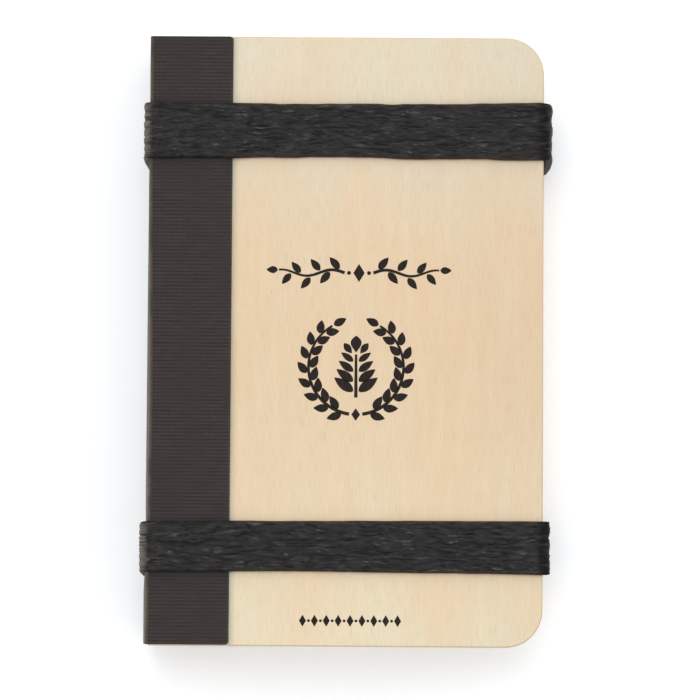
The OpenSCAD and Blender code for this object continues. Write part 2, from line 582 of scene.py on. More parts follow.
def grid_faces(rows: int, columns: int, rows_close: bool, columns_close: bool) -> list[tuple[int, ...]]:
    """Lists the faces of a grid of points.

    Args:
        rows: How many rows of points it has.
        columns: How many points a row has.
        rows_close: Whether the last row meets the first.
        columns_close: Whether a row's last point meets its first.

    Returns:
        The faces, as numbers of points that are counted row by row.
    """
    faces = []
    for i in range(rows if rows_close else rows - 1):
        for j in range(columns if columns_close else columns - 1):
            k, m = (i + 1) % rows, (j + 1) % columns
            faces.append((i * columns + j, i * columns + m, k * columns + m, k * columns + j))
    return faces


@dataclass
class Boards:
    """The two plywood boards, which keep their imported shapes.

    The finest grain stands for the veneer's pores, drawn a few times as wide as they are so that
    they show.
    """

    pairs: tuple[tuple[str, str], ...] = (("back_board", "back_flap"), ("front_board", "front_flap"))
    grains: tuple[Grain, ...] = (
        Grain("B99A70", 0.29, (0.25 * MM, 3.4 * MM, 0.25 * MM), low=0.42, high=0.8),
        Grain("E3BD96", 0.25, (15 * MM, 30 * MM, 15 * MM), low=0.42, high=0.66),
        Grain("EEE2CC", 0.13, (2.5 * MM, 20 * MM, 2.5 * MM), low=0.4),
        Grain("8A6C4A", 0.25, (0.3 * MM, 1.2 * MM, 0.3 * MM), low=0.81, high=0.86, octaves=0.0),
    )

    def build(self) -> None:
        """Gives each board its plywood."""
        for name, flap in self.pairs:
            low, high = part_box(name)
            on_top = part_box(flap)[0].z > low.z
            inner, outer = (low.z, high.z) if on_top else (high.z, low.z)
            dress(name, BasswoodPly(
                f"basswood_ply_{name}", "DCC5A5", 0.62, 0.25, relief=0.01 * MM, grains=self.grains,
                inner=inner, outer=outer, half_width=high.x, half_length=high.y,
                cloth_edge=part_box(flap)[1].x,
            ))


@dataclass
class PressingStack:
    """The corrugated cards, the blotters and the strip that lines the spine."""

    finishes: tuple[tuple[str, Finish], ...] = (
        ("card", KRAFT_BOARD), ("blotter", BLOTTING_PAPER), ("spine_lining", LINING_PAPER),
    )

    def build(self) -> None:
        """Gives each leaf its paper."""
        for node in sorted(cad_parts):
            for start, finish in self.finishes:
                if node.startswith(start):
                    dress(node, finish)


class Half(Enum):
    """The halves of the cloth strip."""

    FRONT = "front"
    BACK = "back"


@dataclass
class ClothBinding:
    """The strip of book cloth that binds the spine, in two halves that meet in mid-spine.

    It lies flat on the boards, turns round their edges with some slack and bulges off the stack in
    between. The slack and the bulge are in millimetres, at places counted from the middle to the
    head.
    """

    thickness: float = 0.3 * MM
    turn_radius: float = 0.3 * MM
    corner_radius: float = 0.8 * MM
    places: tuple[float, ...] = (-70, -56, -53, -41, -38, -14, 9, 21, 37, 42, 54, 57, 70)
    slack: tuple[float, ...] = (0.5, 0.46, 0.4, 0.2, 0.14, 0.03, 0.2, 0.35, 0.5, 0.4, 0.4, 0.45, 0.45)
    bulge: tuple[float, ...] = (1.1, 1.15, 0.8, 0.75, 0.86, 0.86, 0.85, 0.8, 0.7, 0.5, 0.5, 0.58, 0.66)
    curve_blur: float = 2.5 * MM
    fullness: float = 4.0
    edge_round: float = 0.12 * MM
    row_gap: float = 1.5 * MM
    join_gap: float = 0.02 * MM
    bend_reach: float = 1.0 * MM
    near_end: tuple[float, ...] = (0, 0.04, 0.09, 0.16, 0.3, 0.6)
    even_from: float = 2 * MM
    flat_points: int = 18
    turn_points: int = 9
    spine_points: int = 22
    least_rim: float = 0.06
    slack_reach: float = 4 * MM
    rubbed_and_highlight_reach: float = 0.35 * MM
    rubbed_and_highlight_end: Pair = (0.5 * MM, 1.2 * MM)
    frayed_share: float = 0.3

    def along_spine(self, y: np.ndarray, values: Sequence[float]) -> np.ndarray:
        """Reads, at y in metres, a curve whose values are in millimetres at the binding's places."""
        return soft_curve(y, np.array(self.places) * MM, np.array(values) * MM, self.curve_blur)

    def path(self, y: np.ndarray) -> tuple[np.ndarray, np.ndarray, np.ndarray]:
        """Follows the middle of the front half's thickness from its free edge to mid-spine.

        Args:
            y: Places along the spine, one for each row.

        Returns:
            The path's points as X and Z and its outward directions, each with one row per place,
            and the flat distance of each point from the free edge.
        """
        flap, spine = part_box("front_flap"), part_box("spine_panel")
        middle = (spine[0].z + spine[1].z) / 2
        radius = self.turn_radius + self.thickness / 2
        centre = (spine[1].x + self.turn_radius, flap[0].z - self.turn_radius)
        near_edge = np.array([*self.near_end, 1.2]) * MM
        inner = np.linspace(flap[1].x - self.even_from, centre[0] + self.rubbed_and_highlight_reach, self.flat_points)
        x = np.concatenate([flap[1].x - near_edge, inner, (centre[0],)])
        flat = np.stack([x, np.full_like(x, centre[1] + radius)], 1)
        angle = np.linspace(0, math.pi / 2, self.turn_points)[1:]
        arc = np.array(centre) + radius * np.stack([-np.sin(angle), np.cos(angle)], 1)
        even = np.linspace(centre[1], middle, self.spine_points)[1:-1]
        z = np.append(even, (middle + self.join_gap, middle))
        down = np.stack([np.full_like(z, centre[0] - radius), z], 1)
        path = np.concatenate([flat, arc, down])
        along = np.concatenate([[0], np.cumsum(np.linalg.norm(np.diff(path, axis=0), axis=1))])
        path = np.repeat(path[None], len(y), 0)
        slack, bulge = (self.along_spine(y, values)[:, None] for values in (self.slack, self.bulge))
        rise = np.clip((path[..., 1] - middle) / (centre[1] - middle), 0, 1) ** self.fullness
        turned_down = path[..., 0] < centre[0]
        path[..., 0] -= np.where(turned_down, slack * rise + bulge * (1 - rise), 0)
        reach = smooth_step(centre[0] + self.slack_reach, centre[0], path[..., 0])
        path[..., 0] -= np.where(turned_down, 0, slack * reach)
        outward = across_path(unit(np.gradient(path, axis=1)))
        outward[:, -1] = (-1, 0)
        return path, outward, along

    def rubbed_and_highlight(self, from_free: np.ndarray, turn: float) -> np.ndarray:
        """Tells how far the cloth is rubbed and painted lighter as a highlight: at the spine's turn, less
        at its free edge.

        Args:
            from_free: Flat distances from the free edge.
            turn: The turn's own distance from it.

        Returns:
            The share at each distance, from 0 to 1.
        """
        reach = self.rubbed_and_highlight_reach
        share = smooth_step(turn - 0.85 * reach, turn + 0.7 * reach, from_free)
        share = share * (1 - smooth_step(turn + self.rubbed_and_highlight_end[0], turn + self.rubbed_and_highlight_end[1], from_free))
        return np.maximum(share, self.frayed_share * smooth_step(2 * reach, 0, from_free))

    def half(self, which: Half) -> bpy.types.Object:
        """Builds one half of the strip as a closed mesh of the cloth's thickness.

        Args:
            which: The half. The back one is the front one's mirror image.

        Returns:
            The piece.
        """
        flap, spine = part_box("front_flap"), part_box("spine_panel")
        low, high = flap[0].y, flap[1].y
        y = closer_at_ends(low, high, self.near_end, 1 * MM, round((high - low) / self.row_gap))
        path, outward, along = self.path(y)
        from_free, from_end = along[None, :], np.minimum(y - low, high - y)[:, None]
        inset = np.maximum(self.corner_radius - from_free, 0)
        cut = self.corner_radius - np.sqrt(self.corner_radius ** 2 - inset ** 2)
        y_grid = y[:, None] - np.sign(y)[:, None] * cut * (1 - np.clip(from_end / self.corner_radius, 0, 1))
        rim = np.clip(np.minimum(from_free, from_end) / self.edge_round, self.least_rim, 1)
        reach = (self.thickness / 2 * np.sqrt(1 - (1 - rim) ** 2))[..., None]
        faces_xz = (path + outward * reach, path - outward * reach)
        sides = [np.stack([xz[..., 0], y_grid, xz[..., 1]], 2) for xz in faces_xz]
        ring = np.concatenate([sides[0], sides[1][:, ::-1]], 1)
        if which is Half.BACK:
            ring[..., 2] = spine[0].z + spine[1].z - ring[..., 2]
        count, width = ring.shape[:2]
        faces = grid_faces(count, width, False, True)
        last = (count - 1) * width
        for j in range(width // 2 - 1):
            cap = (j, j + 1, width - 2 - j, width - 1 - j)
            faces += [cap[::-1], tuple(last + k for k in cap)]
        if which is Half.FRONT:
            faces = [face[::-1] for face in faces]
        weave = np.stack([np.broadcast_to(from_free, y_grid.shape), y_grid, 0 * y_grid], 2)
        turn = flap[1].x - spine[1].x - self.turn_radius
        rubbed_and_highlight = np.broadcast_to(self.rubbed_and_highlight(from_free, turn), y_grid.shape)
        shares = {
            BUCKRAM.map_name: np.concatenate([weave, weave[:, ::-1]], 1).reshape(-1, 3),
            BUCKRAM.rubbed_and_highlight_name: np.concatenate([rubbed_and_highlight, rubbed_and_highlight[:, ::-1]], 1).ravel(),
        }
        return mesh_piece(f"cloth_{which.value}_half", ring.reshape(-1, 3), faces, BUCKRAM, shares)

    def build(self) -> None:
        """Builds both halves, and hides the imported pieces that they stand in for."""
        front, back = self.half(Half.FRONT), self.half(Half.BACK)
        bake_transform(front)
        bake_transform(back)
        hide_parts("front_flap", "spine_panel")
        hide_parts("back_flap")


@dataclass(frozen=True)
class Crinkle:
    """One layer of crinkles: how many to a long cell, how wide, how high, and its noise's seed.

    The height is a share of the creases' depth, or how far the layer moves others if it does that.
    """

    per_cell: int
    width: float
    height: float
    seed: int

    def gaps(self) -> "Crinkle":
        """Gives the layer that breaks this one off here and there."""
        return Crinkle(2 * self.per_cell, 1.6 * self.width, 1.0, self.seed + 1)


@dataclass(frozen=True)
class CrinkledFace:
    """A band's outer face: long broken creases, short ones between them, and fine crests.

    Where it faces the spine or the fore edge, the pull draws it into lengthwise ridges, fine ones
    and wide ones. Heights run from 0 in a crease to 1 on a crest. A pair of limits says where a
    layer, or the turn to a side, starts to show and where it shows in full.
    """

    length: float
    seed: int
    ridge_seed: int
    cell_length: float = 15 * MM
    middle_cell: float = 25
    level: float = 0.68
    moved_along: Crinkle = Crinkle(3, 2.5 * MM, 3 * MM, 1)
    moved_across: Crinkle = Crinkle(4, 3 * MM, 0.55 * MM, 2)
    swell: Crinkle = Crinkle(3, 2.5 * MM, 0.25, 3)
    creases: tuple[Crinkle, ...] = (
        Crinkle(1, 1.5 * MM, 0.5, 4), Crinkle(2, 1.0 * MM, 0.42, 6),
        Crinkle(5, 0.6 * MM, 0.3, 8), Crinkle(9, 0.4 * MM, 0.2, 10),
    )
    crease_line: float = 0.08
    gap_limits: Pair = (-0.15, 0.2)
    puffs: Crinkle = Crinkle(4, 1.0 * MM, 0.6, 12)
    puff_level: float = 0.15
    patches: Crinkle = Crinkle(2, 2.5 * MM, 1.0, 14)
    patch_limits: Pair = (-0.15, 0.3)
    glints: Crinkle = Crinkle(3, 0.27 * MM, 0.4, 13)
    glint_limits: Pair = (0.12, 0.42)
    fine: Crinkle = Crinkle(16, 0.3 * MM, 0.15, 15)
    ridge_level: float = 0.55
    ridge_share: float = 0.65
    ridge_widths: Pair = (0.52 * MM, 2.2 * MM)
    spine_ridges: Pair = (1.2, 0.5)
    fore_ridges: Pair = (0.5, 1.4)
    fine_ridge_seed: int = 16
    side_limits: Pair = (0.15, 0.7)

    def noise(self, layer: Crinkle, s: np.ndarray, v: np.ndarray) -> np.ndarray:
        """Reads a layer's noise.

        Args:
            layer: The layer.
            s: Places round the loop.
            v: Places across the band.

        Returns:
            Its values about zero.
        """
        cells = round(self.length / self.cell_length)
        field_of = GradientNoise(cells * layer.per_cell, self.seed + layer.seed)
        around = s / self.length * cells * layer.per_cell
        return field_of.at(around, v / layer.width + self.middle_cell)

    def heights(self, s: np.ndarray, v: np.ndarray, facing: np.ndarray) -> np.ndarray:
        """Lays all the layers over each other.

        Args:
            s: Places round the loop.
            v: Places across the band.
            facing: How far each place faces the fore edge, or with a minus the spine.

        Returns:
            The height at each place.
        """
        moved_s = s + self.moved_along.height * self.noise(self.moved_along, s, v)
        moved_v = v + self.moved_across.height * self.noise(self.moved_across, s, v)
        height = self.level + self.swell.height * self.noise(self.swell, s, v)
        for crease in self.creases:
            line = np.exp(-((self.noise(crease, moved_s, moved_v) / self.crease_line) ** 2))
            broken = smooth_step(*self.gap_limits, self.noise(crease.gaps(), s, v))
            height = height - crease.height * line * broken
        puffs = np.abs(self.noise(self.puffs, moved_s, moved_v)) - self.puff_level
        # Small spots rise to crest height here, which the material paints as glints.
        patches = smooth_step(*self.patch_limits, self.noise(self.patches, s, v))
        glints = smooth_step(*self.glint_limits, self.noise(self.glints, moved_s, moved_v)) * patches
        height = height + self.puffs.height * puffs + self.glints.height * glints
        height = height + self.fine.height * self.noise(self.fine, s, v)
        seeds = (self.fine_ridge_seed, self.ridge_seed)
        ridges = self.ridge_level
        for width, seed, spine, fore in zip(self.ridge_widths, seeds, self.spine_ridges, self.fore_ridges):
            noise = self.noise(Crinkle(1, width, 1.0, seed), s, v)
            ridges = ridges + np.where(facing > 0, fore, spine) * noise
        on_side = smooth_step(*self.side_limits, np.abs(facing))
        return np.clip(height + (ridges - height) * self.ridge_share * on_side, 0, 1)


@dataclass
class ElasticBand:
    """A wide loop of crinkled elastic round the whole press, with a sewn seam under the back.

    Its edges run a little wavy: each lies so far, in millimetres, from the middle of the band at
    even steps from the spine to the fore edge, and ripples about that line. The slips tell how far
    its underside has slid to the head at the spine and at the fore edge, and the bulges how far it
    stands out there. The ridge seed, counted on from the seed, sets its wide ridges at the sides.
    Limits are shares of its outward direction, sideways or up, between which a change runs its
    course. A shade is given by its strength and its reach from the edge.
    """

    node: str
    head_edge: tuple[float, ...]
    tail_edge: tuple[float, ...]
    seed: int
    ridge_seed: int
    ripple: float
    spine_slip: float
    fore_slip: float
    spine_bulge: float
    fore_bulge: float
    width: float = 12.4 * MM
    length: float = field(init=False, default=0.0)
    thickness: float = 1.6 * MM
    bend_radius: float = 0.7 * MM
    row_gap: float = 0.36 * MM
    column_gap: float = 0.15 * MM
    # Its two edges.
    ripple_length: float = 4 * MM
    ripple_seed: int = 20
    near_edge: tuple[float, ...] = (0, 0.02, 0.06, 0.13, 0.22, 0.33, 0.46)
    edge_round: float = 0.6 * MM
    hem: float = 0.3 * MM
    least_rim: float = 0.04
    sharper_side: float = 0.5
    side_limits: Pair = (0.3, 0.9)
    # Its creases, and where it is pressed, pulled flat, or rubbed and given a painted highlight.
    crease_depth: float = 0.5 * MM
    rest_height: float = 0.35
    most_height: float = 0.98
    pressed_by: float = 0.45 * MM
    pressed_limits: Pair = (0.6, 0.95)
    worn_and_highlight_limits: Pair = (0.0, -1.08)
    worn_and_highlight_rise: float = 0.1
    fainter_limits: Pair = (-0.93, -1.0)
    fainter_share: float = 0.7
    turn_ends: Pair = (3.8 * MM, 1.8 * MM)
    turn_limits: Pair = (0.8, 1.0)
    turn_fall: float = 0.5
    under_rise: float = 0.25
    # The painted shade and painted light reflected from the wood at its edges, and the painted shade of its
    # turn over the fore edge.
    turn_shade: float = 0.85
    wood_reach: float = 2 * MM
    brown_limits: Pair = (0.1, 0.7)
    brown_share: float = 0.9
    brown_reach: float = 0.5 * MM
    tail_shade: Pair = (1, 0.42 * MM)
    head_shade: Pair = (0.8, 0.65 * MM)
    # Its inner face, which lifts at both edges by so many millimetres, and its seam.
    inner_lift: tuple[float, ...] = (0.12, 0, 0, 0, 0, 0, 0.12)
    seam_reach: float = 4 * MM
    calm_ends: Pair = (0.6, 1.6)
    calmest: float = 0.2
    seam_width: float = 0.25 * MM
    stitch_count: int = 23
    stitch_reach: float = 1.9 * MM
    thread_radius: float = 0.15 * MM
    thread_sides: int = 8

    def loop(self) -> tuple[np.ndarray, np.ndarray]:
        """Follows the band's inner face round the press, from the middle of its underside.

        Returns:
            The distance of each row round the outer face, and the rows' points as X and Z.
        """
        low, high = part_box(self.node)
        half_w, half_h = (high.x - low.x) / 2 - self.thickness, (high.z - low.z) / 2 - self.thickness
        radius, outer = self.bend_radius, self.bend_radius + self.thickness
        flat, side, bend = half_w - radius, half_h - radius, outer * math.pi / 2
        runs = [flat, bend, 2 * side, bend, 2 * flat, bend, 2 * side, bend, flat]
        ends = np.concatenate([[0], np.cumsum(runs)])
        self.length = float(ends[-1])
        count = round(self.length / self.row_gap)
        s = np.arange(count) / count * self.length
        points = np.zeros((count, 2))
        starts = [(0, -half_h), (half_w, -side), (flat, half_h), (-half_w, side), (-flat, -half_h)]
        centres = [(flat, -side), (flat, side), (-flat, side), (-flat, -side)]
        for k in range(len(runs)):
            here = (s >= ends[k]) & (s < ends[k + 1])
            t, heading = s[here] - ends[k], (k + 1) // 2 * math.pi / 2
            if k % 2 == 0:
                way = np.array([math.cos(heading), math.sin(heading)])
                points[here] = np.array(starts[k // 2]) + t[:, None] * way
            else:
                angle = heading - math.pi + t / outer
                points[here] = centres[k // 2] + radius * np.stack([np.cos(angle), np.sin(angle)], 1)
        points[:, 1] += (high.z + low.z) / 2
        return s, points

    def fitted(self, points: np.ndarray, across: np.ndarray) -> np.ndarray:
        """Lays the loop on the press: lower on wood than on cloth, and bulging at its two sides.

        Args:
            points: The loop's points as X and Z.
            across: Places across the band, from -1 to 1.

        Returns:
            The points where the band really lies, one row of them for each point of the loop.
        """
        low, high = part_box(self.node)
        flap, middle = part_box("front_flap"), (high.z + low.z) / 2
        x, z = points[:, None, 0], points[:, None, 1]
        past_cloth = smooth_step(flap[1].x - 0.5 * MM, flap[1].x + 3 * MM, x)
        on_wood = past_cloth * smooth_step(middle, flap[0].z, z)
        rise = 1 - np.clip((z - middle) / (flap[0].z - middle), -1, 1) ** 4
        at_spine = smooth_step(low.x + 2 * self.thickness, low.x + self.thickness, x)
        at_fore = smooth_step(high.x - 2 * self.thickness, high.x - self.thickness, x)
        belly = 1 - np.abs(across) ** 20
        x = x + rise * (self.fore_bulge * at_fore * belly - self.spine_bulge * at_spine)
        z = z - (flap[1].z - flap[0].z) * on_wood + 0 * across
        return np.stack([x, z], 2)

    def columns(self) -> np.ndarray:
        """Spaces the points of a row, closer at the band's two edges.

        Returns:
            Their places across the band.
        """
        half, first = self.width / 2, 0.6 * MM
        count = round((self.width - 2 * first) / self.column_gap)
        return closer_at_ends(-half, half, self.near_edge, first, count)

    def build(self) -> None:
        """Builds the loop and its seam, and lets them ride together."""
        low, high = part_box(self.node)
        s, points = self.loop()
        v = self.columns()
        path = self.fitted(points, (v / (self.width / 2))[None])
        outward = across_path(unit(np.roll(path, -1, 0) - np.roll(path, 1, 0)))
        facing, up = outward[..., 0], outward[..., 1]
        # The crinkles calm down beside the seam.
        seam_away = np.minimum(s, self.length - s)[:, None]
        start, end = (share * self.seam_reach for share in self.calm_ends)
        calm = self.calmest + (1 - self.calmest) * smooth_step(start, end, seam_away)
        face = CrinkledFace(self.length, self.seed, self.ridge_seed)
        height = face.heights(*np.meshgrid(s, v, indexing="ij"), facing)
        height = self.rest_height + (height - self.rest_height) * calm
        # Where the band turns round the spine it is rubbed grey and given a painted highlight, and where it
        # turns over the fore edge it gets painted shade. It is pulled low there, and its creases are
        # shallow under the back.
        worn_and_highlight = smooth_step(*self.worn_and_highlight_limits, facing)
        worn_and_highlight = worn_and_highlight * (1 - self.fainter_share * smooth_step(*self.fainter_limits, facing))
        start, end = (high.x - reach for reach in self.turn_ends)
        turning = smooth_step(start, end, points[:, 0])[:, None]
        over_fore_edge = turning * (1 - smooth_step(*self.turn_limits, facing)) * (up > 0)
        height = height * (1 + self.worn_and_highlight_rise * worn_and_highlight - self.turn_fall * over_fore_edge)
        height = np.minimum(height + self.under_rise * (up < -0.9), self.most_height)
        # Its thickness falls to a hem at its two edges, and in the line of the seam.
        from_edge = self.width / 2 - np.abs(v)[None]
        seam = self.hem * np.exp(-((seam_away / self.seam_width) ** 2))
        on_side = smooth_step(*self.side_limits, np.abs(facing))
        edge_round = self.edge_round * (1 - self.sharper_side * on_side)
        rounding = np.sqrt(1 - (1 - np.clip(from_edge / edge_round, self.least_rim, 1)) ** 2)
        pressed = self.pressed_by * smooth_step(*self.pressed_limits, up)
        full = self.thickness - pressed - self.crease_depth * (1 - height) - seam
        thick = self.hem + (full - self.hem) * rounding
        y = self.places(points, v)
        outer_xz = path + outward * thick[..., None]
        outer = np.stack([outer_xz[..., 0], y, outer_xz[..., 1]], 2)
        picked = np.linspace(len(v) - 1, 0, len(self.inner_lift)).astype(int)
        lift = np.array(self.inner_lift)[None, :, None] * MM
        inner_xz = path[:, picked] + outward[:, picked] * lift
        inner = np.stack([inner_xz[..., 0], y[:, picked], inner_xz[..., 1]], 2)
        ring = np.concatenate([outer, inner], 1)
        # Painted shade blackens its edges over the cloth; over the wood, painted light reflected from the
        # wood browns them.
        past_cloth = points[:, 0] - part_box("front_flap")[1].x
        on_wood = smooth_step(0, self.wood_reach, past_cloth)[:, None]
        black, reach = (np.where(v < 0, *pair) for pair in zip(self.tail_shade, self.head_shade))
        rim = np.exp(-((from_edge / reach) ** 2)) * (up > 0.5) * black
        on_top = smooth_step(*self.brown_limits, up)
        brown = on_wood * on_top * self.brown_share * np.exp(-((from_edge / self.brown_reach) ** 2))
        shade = np.maximum((1 - on_wood) * rim, self.turn_shade * over_fore_edge)
        elastic, within = CRINKLED_ELASTIC, np.ones((len(s), len(picked)))
        shares = {
            name: np.concatenate([on_outer, on_inner], 1).ravel()
            for name, on_outer, on_inner in (
                (elastic.crest_name, height, 0.5 * within),
                (elastic.worn_and_highlight_name, worn_and_highlight * smooth_step(0.05, 0.85, height), 0 * within),
                (elastic.wood_reflection_name, brown, brown[:, picked]),
                (elastic.shade_name, shade, shade[:, picked]),
            )
        }
        faces = grid_faces(*ring.shape[:2], True, True)
        piece = mesh_piece(f"{self.node}_loop", ring.reshape(-1, 3), faces, elastic, shares)
        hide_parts(self.node)
        for part in (piece, self.seam(low, high)):
            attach(part, self.node)

    def places(self, points: np.ndarray, v: np.ndarray) -> np.ndarray:
        """Places the band's points along the press, where it has slid a little.

        Args:
            points: The rows' points as X and Z.
            v: The columns' places across the band.

        Returns:
            Each point's place along Y.
        """
        low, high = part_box(self.node)
        fore = (points[:, 0] - low.x) / (high.x - low.x)
        depth = np.clip((high.z - points[:, 1]) / (high.z - low.z), 0, 1)
        slip = (self.spine_slip + (self.fore_slip - self.spine_slip) * fore) * depth
        cells = round((high.x - low.x) / self.ripple_length)
        ripples = GradientNoise(cells, self.seed + self.ripple_seed)
        head, tail = (
            soft_curve(fore, np.linspace(0, 1, len(edge)), np.array(edge) * MM, 0.05)[:, None]
            + self.ripple * ripples.at(fore * cells, 0 * fore + row)[:, None]
            for edge, row in ((self.head_edge, 0.5), (self.tail_edge, 5.5))
        )
        share = v[None] / (self.width / 2)
        return (low.y + high.y) / 2 + slip[:, None] + share * np.where(share > 0, head, tail)

    def seam(self, low: Vector, high: Vector) -> bpy.types.Object:
        """Sews the loop's two ends together with a zigzag stitch, sunk into the underside.

        Args:
            low: The band's lowest corner.
            high: Its highest corner.

        Returns:
            The thread.
        """
        turns, reach, sides = self.stitch_count, self.stitch_reach, self.thread_sides
        half = self.width / 2 - 1.4 * MM
        t = np.linspace(0, turns - 1, sides * (turns - 1) + 1)
        corners = np.arange(turns)
        x = np.interp(t, corners, np.where(corners % 2, reach, -reach))
        y = np.interp(t, corners, np.linspace(-half, half, turns))
        y += (low.y + high.y) / 2 + (self.spine_slip + self.fore_slip) / 2
        depth = 0.42 * self.crease_depth
        z = low.z + depth + 0.16 * MM * (np.abs(x) / reach) ** 6
        line = np.stack([x, y, z], 1)
        heading = unit(np.gradient(line, axis=0))
        aside = unit(np.cross(heading, (0, 0, 1.0)))
        up = np.cross(aside, heading)
        angle = np.linspace(0, math.tau, sides, endpoint=False)[None, :, None]
        spoke = np.cos(angle) * aside[:, None] + np.sin(angle) * up[:, None]
        ring = line[:, None] + self.thread_radius * spoke
        last = (len(t) - 1) * sides
        faces = [face[::-1] for face in grid_faces(len(t), sides, False, True)]
        faces += [tuple(range(sides)), tuple(last + k for k in reversed(range(sides)))]
        return mesh_piece(f"{self.node}_stitches", ring.reshape(-1, 3), faces, POLYESTER_THREAD)


def turned(points: np.ndarray, angle: float, centre: Pair = (0.0, 0.0)) -> np.ndarray:
    """Turns points anticlockwise about the origin, and then moves the origin to the centre."""
    c, s = math.cos(angle), math.sin(angle)
    return points @ np.array([[c, s], [-s, c]]) + np.array(centre)


def mirrored(outlines: Sequence[np.ndarray]) -> list[np.ndarray]:
    """Adds each outline's mirror image across the line x = 0, anticlockwise as well."""
    return [*outlines, *(outline[::-1] * (-1, 1) for outline in outlines)]


def blade(base: Pair, angle: float, length: float, width: float, fullest: float = 0.42) -> np.ndarray:
    """Outlines a leaf, a petal or a bud.

    Args:
        base: The end that it grows from.
        angle: The direction that it points in.
        length: Its length.
        width: Its greatest width.
        fullest: The share of its length at which it is widest.

    Returns:
        The outline's points, anticlockwise.
    """
    t = np.linspace(0, 1, 21)
    half = width / 2 * np.sin(math.pi * t ** (math.log(0.5) / math.log(fullest))) ** 0.85
    lower = np.stack([t * length, -half], 1)
    upper = np.stack([t * length, half], 1)[-2:0:-1]
    return turned(np.concatenate([lower, upper]), angle, base)


def polygon(centre: Pair, width: float, height: float, corners: int) -> np.ndarray:
    """Outlines a lozenge, or with many corners a dot, anticlockwise."""
    angle = np.linspace(0, math.tau, corners, endpoint=False)
    return np.array(centre) + np.stack([width / 2 * np.cos(angle), height / 2 * np.sin(angle)], 1)


def stroke(line: np.ndarray, start: float, end: float) -> np.ndarray:
    """Outlines a stroke that tapers along a line.

    Args:
        line: The points that it follows.
        start: Its width at the first point.
        end: Its width at the last one.

    Returns:
        The outline's points, anticlockwise.
    """
    heading = unit(np.gradient(line, axis=0))
    aside = np.stack([-heading[:, 1], heading[:, 0]], 1) * np.linspace(start, end, len(line))[:, None] / 2
    return np.concatenate([line - aside, (line + aside)[::-1]])


@dataclass
class Print:
    """A printed ornament: flat outlines that stand on the front board as a film of ink."""

    name: str
    centre: Pair
    outlines: list[np.ndarray]
    film: float = 0.02 * MM
    bite: float = 0.01 * MM

    def build(self) -> None:
        """Builds the film as one mesh of separate closed islands."""
        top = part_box("front_board")[1].z
        points: list[tuple[float, float, float]] = []
        faces: list[tuple[int, ...]] = []
        for outline in self.outlines:
            start, count = len(points), len(outline)
            for z in (top - self.bite, top + self.film):
                points += [(x, y, z) for x, y in outline + np.array(self.centre)]
            lower, upper = (tuple(range(start + k * count, start + (k + 1) * count)) for k in (0, 1))
            faces += [lower[::-1], upper]
            for i in range(count):
                j = (i + 1) % count
                faces.append((lower[i], lower[j], upper[j], upper[i]))
        piece = mesh_piece(self.name, np.array(points), faces, SCREEN_INK, smooth=False)
        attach(piece, "front_cover")


